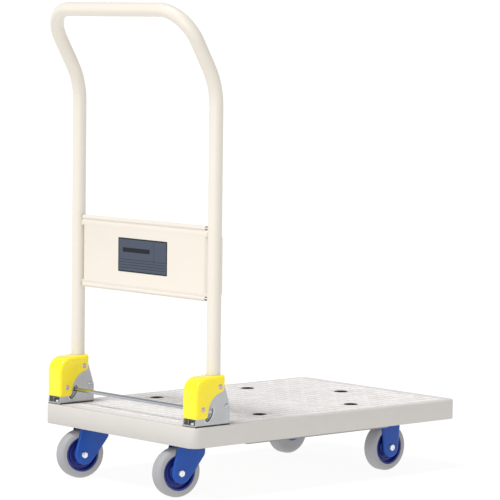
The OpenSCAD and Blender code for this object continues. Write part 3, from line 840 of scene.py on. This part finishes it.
def handle_path():
    """Middle line of the tube, from the right foot over the grip bar to the left foot."""
    foot = box("handle_tube")[0].z
    t = KINK_R * tan(KINK_A / 2)
    up = [Vector((POST_X, -POST_Y, foot + (KINK_Z - t - foot) * i / 12)) for i in range(13)]
    up += [Vector((POST_X - KINK_R * (1 - cos(a)), -POST_Y, KINK_Z - t + KINK_R * sin(a)))
           for a in (KINK_A * i / 14 for i in range(1, 15))]
    lean = Vector((-sin(KINK_A), 0, cos(KINK_A)))
    base = Vector((POST_X, 0, KINK_Z))
    corner = base + lean * (LEAN - TOP_R) - Y * (POST_Y - TOP_R)
    up += [up[-1].lerp(corner - Y * TOP_R, i / 4) for i in range(1, 4)]
    up += [corner - Y * TOP_R * cos(a) + lean * TOP_R * sin(a)
           for a in (pi / 2 * i / 20 for i in range(21))]
    bar = [Vector((up[-1].x, y, up[-1].z)) for y in (-(POST_Y - TOP_R) / 2, 0)]
    half = up + bar
    return half + [Vector((p.x, -p.y, p.z)) for p in half[::-1][1:]]


def open_end(foot, side, segs):
    """Rings of the open end of the tube, from a plug inside it out to its mouth."""
    bore = TUBE_R - TUBE_WALL
    return [[foot + Z * up + (X * cos(a) + side * Y * sin(a)) * r
             for a in (2 * pi * i / segs for i in range(segs))]
            for r, up in ((bore, LINING), (bore, LIP), (bore + LIP, 0), (TUBE_R - LIP, 0))]


def matched(rows, ring):
    """The rows renumbered, so that the last one runs along with the ring beside it."""
    near = min(range(len(ring)), key=lambda i: (rows[-1][i] - ring[0]).length)
    rows = [row[near:] + row[:near] for row in rows]
    if (rows[-1][1] - ring[1]).length > (rows[-1][-1] - ring[1]).length:
        rows = [[row[0]] + row[:0:-1] for row in rows]
    return rows


def handle_tube():
    segs = 56
    path = handle_path()
    rings = carried(path, TUBE_R, segs, start=X)
    for k in (0, -1):
        rings[k] = [p + Z * LIP for p in rings[k]]
    begun = matched(open_end(path[0], 1, segs), rings[0])
    ended = matched(open_end(path[-1], -1, segs), rings[-1])
    bm = bmesh.new()
    loft(bm, begun + rings + ended[::-1])
    make("push_handle", bm, "handle_tube", "handle_paint", ["handle_tube"], sharp=50)


PANEL_LO, PANEL_HI = box("handle_panel")
LABEL_LO, LABEL_HI = box("label_plate")
PANEL_T = 1.4
PANEL_X = LABEL_HI.x + PANEL_T / 2
PANEL_HALF = POST_Y - 22
WEB_HALF = PANEL_HALF - 4.0
BEAD_R = 5.0
BEAD_OPEN = 14            # half the gap of a rolled edge, in degrees
WRAP_MID = TUBE_R + 0.1 + PANEL_T / 2
WRAP_Z0, WRAP_Z1 = PANEL_LO.z + 16, PANEL_HI.z - 22


def beads(bm):
    """Rolled upper and lower edges of the panel."""
    x0, a0, a1 = PANEL_X + 2.5, BEAD_OPEN, 360 - BEAD_OPEN
    for z0 in (PANEL_LO.z + BEAD_R, PANEL_HI.z - BEAD_R):
        loop = arc_points(x0, z0, BEAD_R, a0, a1, 30)
        loop += arc_points(x0, z0, BEAD_R - PANEL_T, a1, a0, 30)
        loft(bm, [[Vector((x, y, z)) for x, z in loop] for y in (-PANEL_HALF, PANEL_HALF)])


def web():
    """Flat middle of the panel, with ears towards the posts above and below the tabs."""
    gap, tip, shoulder = 0.8, PANEL_HALF + 5.5, PANEL_HALF - 1.0
    z0, z1 = PANEL_LO.z + 2 * BEAD_R - 1.3, PANEL_HI.z - 2 * BEAD_R + 1.3
    right = [(shoulder, z0), (tip - 3.0, z0 + 2.0), (tip, z0 + 5.0), (tip, WRAP_Z0 - gap),
             (WEB_HALF, WRAP_Z0 - gap), (WEB_HALF, WRAP_Z1 + gap), (tip, WRAP_Z1 + gap),
             (tip, z1 - 5.0), (tip - 3.0, z1 - 2.0), (shoulder, z1)]
    bm = flat_sheet(right + [(-a, b) for a, b in right[::-1]], [], PANEL_T, 0.2, 1)
    move(bm, lambda p: Vector((PANEL_X + p.z, p.x, p.y)))
    return bm


def tabs(bm):
    """Side tabs: out of the web, forward beside the post and round its deck side."""
    touch, wrap_end = pi / 2 - radians(45.4), radians(165)
    turn_x, turn_y = POST_X + WRAP_MID * sin(touch), POST_Y - WRAP_MID * cos(touch)
    leave_x, leave_y = PANEL_X + 1.0, WEB_HALF + 1.5
    line = [(PANEL_X, WEB_HALF - 1.0), (PANEL_X, WEB_HALF - 0.2),
            (PANEL_X + 0.25, WEB_HALF + 0.6), (leave_x, leave_y)]
    line += [(leave_x + (turn_x - leave_x) * k / 3, leave_y + (turn_y - leave_y) * k / 3)
             for k in (1, 2)]
    line += [(POST_X + WRAP_MID * sin(a), POST_Y - WRAP_MID * cos(a))
             for a in (touch + (wrap_end - touch) * i / 24 for i in range(25))]
    for _, s in SIDES:
        rows = []
        for i, (x, y) in enumerate(line):
            ax, ay = line[max(i - 1, 0)]
            bx, by = line[min(i + 1, len(line) - 1)]
            d = Vector((bx - ax, by - ay)).normalized() * PANEL_T / 2
            rows.append([Vector((x + d.y * k, s * (y - d.x * k), z)) for k, z in
                         ((1, WRAP_Z0), (1, WRAP_Z1), (-1, WRAP_Z1), (-1, WRAP_Z0))])
        loft(bm, rows)


def panel():
    """Pressed sheet with rolled edges, and side tabs wrapped round the posts."""
    bm = bmesh.new()
    beads(bm)
    merge(bm, web())
    tabs(bm)
    make("handle_panel_sheet", bm, "handle_panel", "handle_paint", ["handle_panel"], sharp=40)


def wrap_rivets():
    """Domed rivets of the tabs."""
    bm = bmesh.new()
    for lo, hi in islands("panel_rivets"):
        c = (lo + hi) / 2
        h = hi.x - lo.x
        dome = [(4, 0), (4, h * 0.35), (3.4, h * 0.75), (2.2, h * 0.97), (0.6, h)]
        lathe(bm, Vector((lo.x, c.y, c.z)), X, dome, 32)
    make("wrap_rivets", bm, "panel_rivets", "handle_paint", ["panel_rivets"])


def label():
    """Blank plate with a plain border, ruled lines and one dark bar, and no lettering."""
    bm = bmesh.new()
    w, h = LABEL_HI.y - LABEL_LO.y, LABEL_HI.z - LABEL_LO.z
    cy, cz = (LABEL_LO.y + LABEL_HI.y) / 2, (LABEL_LO.z + LABEL_HI.z) / 2
    face = LABEL_LO.x + 0.1
    loft(bm, [[Vector((x, cy + p.x, cz + p.y))
               for p in rounded_rect(0, 0, w - 2 * i, h - 2 * i, 2.2 - i, 0, 5)]
              for i, x in ((0, LABEL_HI.x), (0, LABEL_LO.x + 0.3), (0.2, face))])
    make("label_plate_blank", bm, "label_plate", "label_print", ["label_plate"])

    bm = bmesh.new()

    def bar(y0, y1, z0, z1):
        corners = ((y0, z0), (y1, z0), (y1, z1), (y0, z1))
        loft(bm, [[Vector((x, cy + y, cz + z)) for y, z in corners]
                  for x in (face + 0.02, face - 0.09)])

    border, rule, spacing, indent = 2.0, 0.7, 5.5, 6.0
    hw, hh = w / 2 - 0.6, h / 2 - 0.6
    iw, ih = hw - border, hh - border
    bar(-hw, hw, ih, hh)
    bar(-hw, hw, -hh, -ih)
    bar(-hw, -iw, -ih, ih)
    bar(iw, hw, -ih, ih)
    split_z, split_y = -hh + 0.36 * 2 * hh, hw - 0.74 * 2 * hw
    bar(-iw, iw, split_z, split_z + rule)
    bar(split_y, split_y + rule, split_z + rule, ih)
    for k in (1, 2, 3):
        z = split_z - spacing * k
        bar(indent - hw, hw - indent, z, z + rule)
    bar(split_y + 14, hw - 14, 6, 15)
    make("label_rules", bm, "label_plate", "label_print", surface=LABEL_DARK)


# ---------------------------------------------------------------- casters

LEG_IN, LEG_T = 18.0, 2.5
LEG_OUT = LEG_IN + LEG_T
AXLE_CORNERS, AXLE_HEAD, AXLE_NUT = 14.0, 5.0, 6.5
# how far a pressed edge curls in, by its distance from the outline
CURL = ((0.0, 2.6), (0.5, 1.7), (1.3, 0.95), (2.4, 0.4), (3.7, 0.1), (5.0, 0.0))


def pressed_leg(circles, top, crease=None):
    """Fork leg in x and z about the axle: a flat blank whose edges curl in to the wheel."""

    def rings(side_y):
        return [[Vector((x, side_y - drop, z)) for x, z in soft(circles, inset)]
                for inset, drop in CURL]

    bm = bmesh.new()
    loft(bm, rings(LEG_OUT)[::-1] + rings(LEG_IN))
    everything = bm.verts[:] + bm.edges[:] + bm.faces[:]
    kept = bmesh.ops.bisect_plane(bm, geom=everything, dist=1e-5, plane_co=(0, 0, top),
                                  plane_no=(0, 0, 1), clear_outer=True)
    rim = [e for e in kept["geom_cut"] if isinstance(e, bmesh.types.BMEdge)]
    bmesh.ops.contextual_create(bm, geom=rim)
    if crease:
        at, normal, slope, blend = crease
        for k in range(5):
            cut(bm, at + normal * blend * k / 4, normal)
        for v in bm.verts:
            d = (v.co - at).dot(normal)
            if d > 0:
                v.co.y -= slope * (d * d / (2 * blend) if d < blend else d - blend / 2)
    return bm


def leg_pair(bm, circles, top, crease=None):
    for m in BOTH:
        leg = pressed_leg(circles, top, crease)
        if m < 0:
            bmesh.ops.scale(leg, vec=(1, -1, 1), verts=leg.verts)
        merge(bm, leg)


def yoke(bm, x0, x1, z_low, z_top, bend):
    """Top of a fork: a flat crown whose sides turn down into the legs."""
    cy, cz = LEG_OUT - bend, z_top - bend
    turns = [pi / 2 * i / 7 for i in range(8)]
    outer = [(LEG_OUT, z_low)] + [(cy + bend * cos(a), cz + bend * sin(a)) for a in turns]
    r = bend - LEG_T
    inner = [(LEG_IN, z_low)] + [(cy + r * cos(a), cz + r * sin(a)) for a in turns]
    loop = outer + [(-y, z) for y, z in outer[::-1]]
    loop += [(-y, z) for y, z in inner] + inner[::-1]
    loft(bm, [[Vector((x, y, z)) for y, z in loop] for x in (x0, x1)])


def to_world(at, turn):
    m = Matrix.Translation(at) @ Matrix.Rotation(turn, 4, "Z")
    return lambda p: m @ p


def swivel_fork(side):
    """Creased legs that reach back to the axle, a crown and the lower race."""
    node = "swivel_fork_" + side
    centre = mid("tyre_rear_" + side)
    axis = Vector(JOINTS["spin_rear_" + side]["axis"])
    turn = -atan2(axis.x, axis.y)
    crown = box(node)[1].z - centre.z
    corner_r = 6
    eye, knee = (2.8, 0, 21.8), (49, 38, 10.5)
    circles = [eye, knee, (54, crown - corner_r, corner_r), (2.5, crown - corner_r, corner_r)]
    crease = (Vector((36, 0, 48)), Vector((1, 0, -0.12)).normalized(), 0.2, 4.0)
    top = crown - 7.5
    bm = bmesh.new()
    leg_pair(bm, circles, top, crease)
    yoke(bm, -2.5, 57, top, crown, 6.5)
    race = crown - 0.5
    lathe(bm, Vector((31, 0, 0)), Z, [(29, race), (29, race - 2.2), (28.2, race - 2.5),
                                      (8.2, race - 2.5), (8.2, race)], 64, closed=True)
    move(bm, to_world(centre, turn))
    make("pressed_fork_" + side, bm, node, "fork_paint", [node], sharp=38)
    rear_axle(side, centre, axis)


def rear_axle(side, centre, axis):
    """Hex bolt and nut of a rear axle."""
    bm = bmesh.new()
    axle_bolt(bm, centre, axis)
    node = "axle_bolt_rear_" + side
    make("axle_screw_rear_" + side, bm, node, "axle_steel", [node])
    bm = bmesh.new()
    axle_nut(bm, centre, axis)
    node = "axle_nut_rear_" + side
    make("axle_locknut_rear_" + side, bm, node, "axle_steel", [node])


def axle_bolt(bm, centre, axis):
    axis = axis.normalized()
    hexagon(bm, centre - axis * LEG_OUT, -axis, AXLE_CORNERS, AXLE_HEAD, dimple=2.6, turned=0.35)
    lathe(bm, centre - axis * (LEG_OUT - 0.1), axis,
          [(3.95, 0), (3.95, 2 * LEG_OUT + 8), (3.2, 2 * LEG_OUT + 8.9)], 40)


def axle_nut(bm, centre, axis):
    axis = axis.normalized()
    hexagon(bm, centre + axis * LEG_OUT, axis, AXLE_CORNERS, AXLE_NUT, bore=4.0, turned=0.3)


def fixed_fork(side):
    """Straight legs that flare out into a flat plate with rounded corners."""
    node = "fixed_fork_" + side
    centre = mid("tyre_front_" + side)
    plate_top = box(node)[1].z - centre.z
    under = plate_top - 3
    corner_r, flare, half_l = 8, 4.0, 27.5
    eye = (2, 0, 21.5)
    bm = bmesh.new()
    leg_pair(bm, [eye, (21, under - 6, corner_r), (-18, under - 6, corner_r)], under - flare)
    for m in BOTH:
        line = [(LEG_OUT + flare * (1 - cos(a)), under - flare * (1 - sin(a)))
                for a in (pi / 2 * i / 6 for i in range(7))]
        loop = [(m * y, z) for y, z in line + [(LEG_IN, under), (LEG_IN, under - flare)]]
        loft(bm, [[Vector((x, y, z)) for y, z in loop] for x in (-half_l, half_l)])
    loft(bm, [rounded_rect(0, 0, 95 - 2 * i, 75 - 2 * i, corner_r - i, z, 6)
              for i, z in ((0.4, under), (0, under + 0.4), (0, plate_top - 0.4),
                           (0.4, plate_top))])
    move(bm, to_world(centre, 0.0))
    make("rigid_fork_" + side, bm, node, "fork_paint", [node], sharp=38)


def front_axles():
    bolts, nuts = bmesh.new(), bmesh.new()
    for side, _ in SIDES:
        centre = mid("tyre_front_" + side)
        axle_bolt(bolts, centre, Y)
        axle_nut(nuts, centre, Y)
    make("axle_screws_front", bolts, "axle_bolts_front", "axle_steel", ["axle_bolts_front"])
    make("axle_locknuts_front", nuts, "axle_nuts_front", "axle_steel", ["axle_nuts_front"])


def wheel(place):
    tyre, core = "tyre_" + place, "core_" + place
    lo, hi = box(tyre)
    at = (lo + hi) / 2
    axis = Vector(JOINTS["spin_" + place]["axis"]).normalized()
    r, half, seat, crown = (hi.z - lo.z) / 2, 15.0, 36.0, 9.0
    side = [(seat, half - 1.0), (seat + 0.8, half), (r - crown - 1.6, half)]
    side += [(r - crown + crown * sin(a), half - crown + crown * cos(a))
             for a in (radians(9 * i) for i in range(1, 11))]
    side += [(r - 0.12, 2.2), (r - 0.12, 1.1), (r, 0.5)]
    other = [(a, -b) for a, b in side[::-1]]
    if place.startswith("front"):
        # a thin skin of the tyre runs over the core on the side that faces the deck centre
        skin = [(seat, 13.75), (16.6, 13.75), (16.0, 14.1), (16.4, 14.6), (seat + 0.8, 14.9)]
        if at.y > 0:
            other = other[:-2] + [(a, -b) for a, b in skin[::-1]]
        else:
            side = skin + side[2:]
    bm = bmesh.new()
    lathe(bm, at, axis, side + other, 96, closed=True)
    make("tread_tyre_" + place, bm, tyre, "tyre_rubber", [tyre], sharp=30)

    # from the bore out: hub, web, raised ring, web and the rim under the tyre
    hub, ring_h, web_h = 16.5, 7.5, 5.0
    line = [(7.0, 9.0), (11.0, 9.2), (11.0, hub - 0.8), (11.6, hub), (13.9, hub),
            (14.6, hub - 0.7), (15.2, web_h + 1.2), (16.4, web_h), (22.4, web_h),
            (23.4, ring_h - 0.8), (24.2, ring_h), (26.2, ring_h), (27.0, ring_h - 0.8),
            (27.8, web_h), (30.6, web_h), (31.6, web_h + 1.2), (32.4, 12.2), (33.2, 13.4),
            (35.2, 13.6), (36.0, 12.8)]
    bm = bmesh.new()
    lathe(bm, at, axis, line + [(a, -b) for a, b in line[::-1]], 96, closed=True)
    make("wheel_core_" + place, bm, core, "core_plastic", [core], sharp=30)


def fasteners():
    """Bolts and nuts of the brackets and of the caster plates."""
    for node, head, shank, down in (("bracket_bolts", 4.0, 2.9, False),
                                    ("caster_bolts", 5.0, 3.55, True)):
        bm = bmesh.new()
        axis = -Z if down else Z
        for lo, hi in islands(node):
            c = (lo + hi) / 2
            seat = lo.z + head if down else hi.z - head
            length = abs((hi.z if down else lo.z) - seat)
            at = Vector((c.x, c.y, seat))
            hexagon(bm, at, axis, hi.x - lo.x, head, dimple=2.0)
            lathe(bm, at + axis * 0.1, -axis,
                  [(shank, 0), (shank, length - 0.7), (shank - 0.7, length)], 32)
        make(node.replace("bolts", "screws"), bm, node, "axle_steel", [node])
    for node, bore, down in (("bracket_nuts", 3.0, True), ("caster_nuts", 3.6, False)):
        bm = bmesh.new()
        for lo, hi in islands(node):
            c = (lo + hi) / 2
            at = Vector((c.x, c.y, hi.z if down else lo.z))
            hexagon(bm, at, -Z if down else Z, hi.x - lo.x, hi.z - lo.z, bore=bore)
        make(node.replace("nuts", "locknuts"), bm, node, "axle_steel", [node])


deck()
tread()
plugs()
for side_name, sign in SIDES:
    bracket(side_name, sign)
    cover(side_name, sign)
    swivel_fork(side_name)
    fixed_fork(side_name)
slot_highlight_rims()
rivets()
release_bar()
handle_tube()
panel()
wrap_rivets()
label()
front_axles()
for wheel_place in ("front_left", "front_right", "rear_left", "rear_right"):
    wheel(wheel_place)
fasteners()


# ---------------------------------------------------------------- studio

def floor():
    """Pale floor that glows a little, so that it stays even and nearly free of shadow."""
    size = 60.0
    mesh = bpy.data.meshes.new("floor")
    mesh.from_pydata([(-size, -size, 0), (size, -size, 0), (size, size, 0), (-size, size, 0)],
                     [], [(0, 1, 2, 3)])
    obj = bpy.data.objects.new("floor", mesh)
    obj.location.z = -0.0005
    bpy.context.scene.collection.objects.link(obj)
    m = bpy.data.materials.new("floor")
    m.use_nodes = True
    shader = m.node_tree.nodes["Principled BSDF"]
    shader.inputs["Base Color"].default_value = (0.12, 0.12, 0.12, 1)
    shader.inputs["Emission Color"].default_value = (1, 1, 1, 1)
    shader.inputs["Emission Strength"].default_value = 0.9
    shader.inputs["Roughness"].default_value = 0.9
    shader.inputs["Specular IOR Level"].default_value = 0.1
    mesh.materials.append(m)


def sky():
    """Bright at the horizon and greyer above it."""
    world = bpy.data.worlds.new("studio")
    world.use_nodes = True
    nt = world.node_tree
    split = nt.nodes.new("ShaderNodeSeparateXYZ")
    nt.links.new(nt.nodes.new("ShaderNodeTexCoord").outputs["Generated"], split.inputs[0])
    height = nt.nodes.new("ShaderNodeMapRange")
    height.inputs["From Min"].default_value = 0.06
    height.inputs["From Max"].default_value = 0.35
    nt.links.new(split.outputs["Z"], height.inputs["Value"])
    nt.links.new(mixed(nt, height.outputs["Result"], (1.05, 1.05, 1.05), (0.5, 0.5, 0.51)),
                 nt.nodes["Background"].inputs["Color"])
    bpy.context.scene.world = world


def aim(name, light, direction):
    """Puts a light into the scene, shining along the direction."""
    obj = bpy.data.objects.new(name, light)
    obj.rotation_euler = Vector(direction).to_track_quat("-Z", "Y").to_euler()
    bpy.context.scene.collection.objects.link(obj)
    return obj


def lights():
    """A soft sun from above and behind the handle, and a tall strip behind it to the right."""
    key = bpy.data.lights.new("key", "SUN")
    key.energy = 2.1
    key.angle = radians(24)
    aim("key", key, (0.46, -0.02, -0.88))
    strip = bpy.data.lights.new("strip", "AREA")
    strip.shape = "RECTANGLE"
    strip.size, strip.size_y = 0.5, 2.0
    strip.energy = 22
    place, target = Vector((-3.1, -1.9, 1.5)), Vector((-0.3, -0.1, 0.3))
    aim("strip", strip, target - place).location = place


AZIMUTH, PITCH, ROLL = 0.730020, 0.0796658, 0.0120388
CAMERA_AT = Vector((-3.982433, -4.452528, 0.947218))
LENS, SENSOR = 205.67, 36.0


def camera():
    """Looks forward past the handle from behind its right side, a little down."""
    away = Vector((sin(AZIMUTH) * cos(PITCH), cos(AZIMUTH) * cos(PITCH), -sin(PITCH)))
    flat = Vector((cos(AZIMUTH), -sin(AZIMUTH), 0))
    rise = flat.cross(away)
    right = flat * cos(ROLL) + rise * sin(ROLL)
    up = rise * cos(ROLL) - flat * sin(ROLL)
    data = bpy.data.cameras.new("camera")
    data.sensor_width = SENSOR
    data.lens = LENS
    data.clip_end = 200
    cam = bpy.data.objects.new("camera", data)
    m = Matrix((right, up, -away)).transposed().to_4x4()
    m.translation = CAMERA_AT
    cam.matrix_world = m
    bpy.context.scene.collection.objects.link(cam)
    bpy.context.scene.camera = cam


floor()
sky()
lights()
camera()
bpy.context.scene.view_settings.view_transform = "Standard"
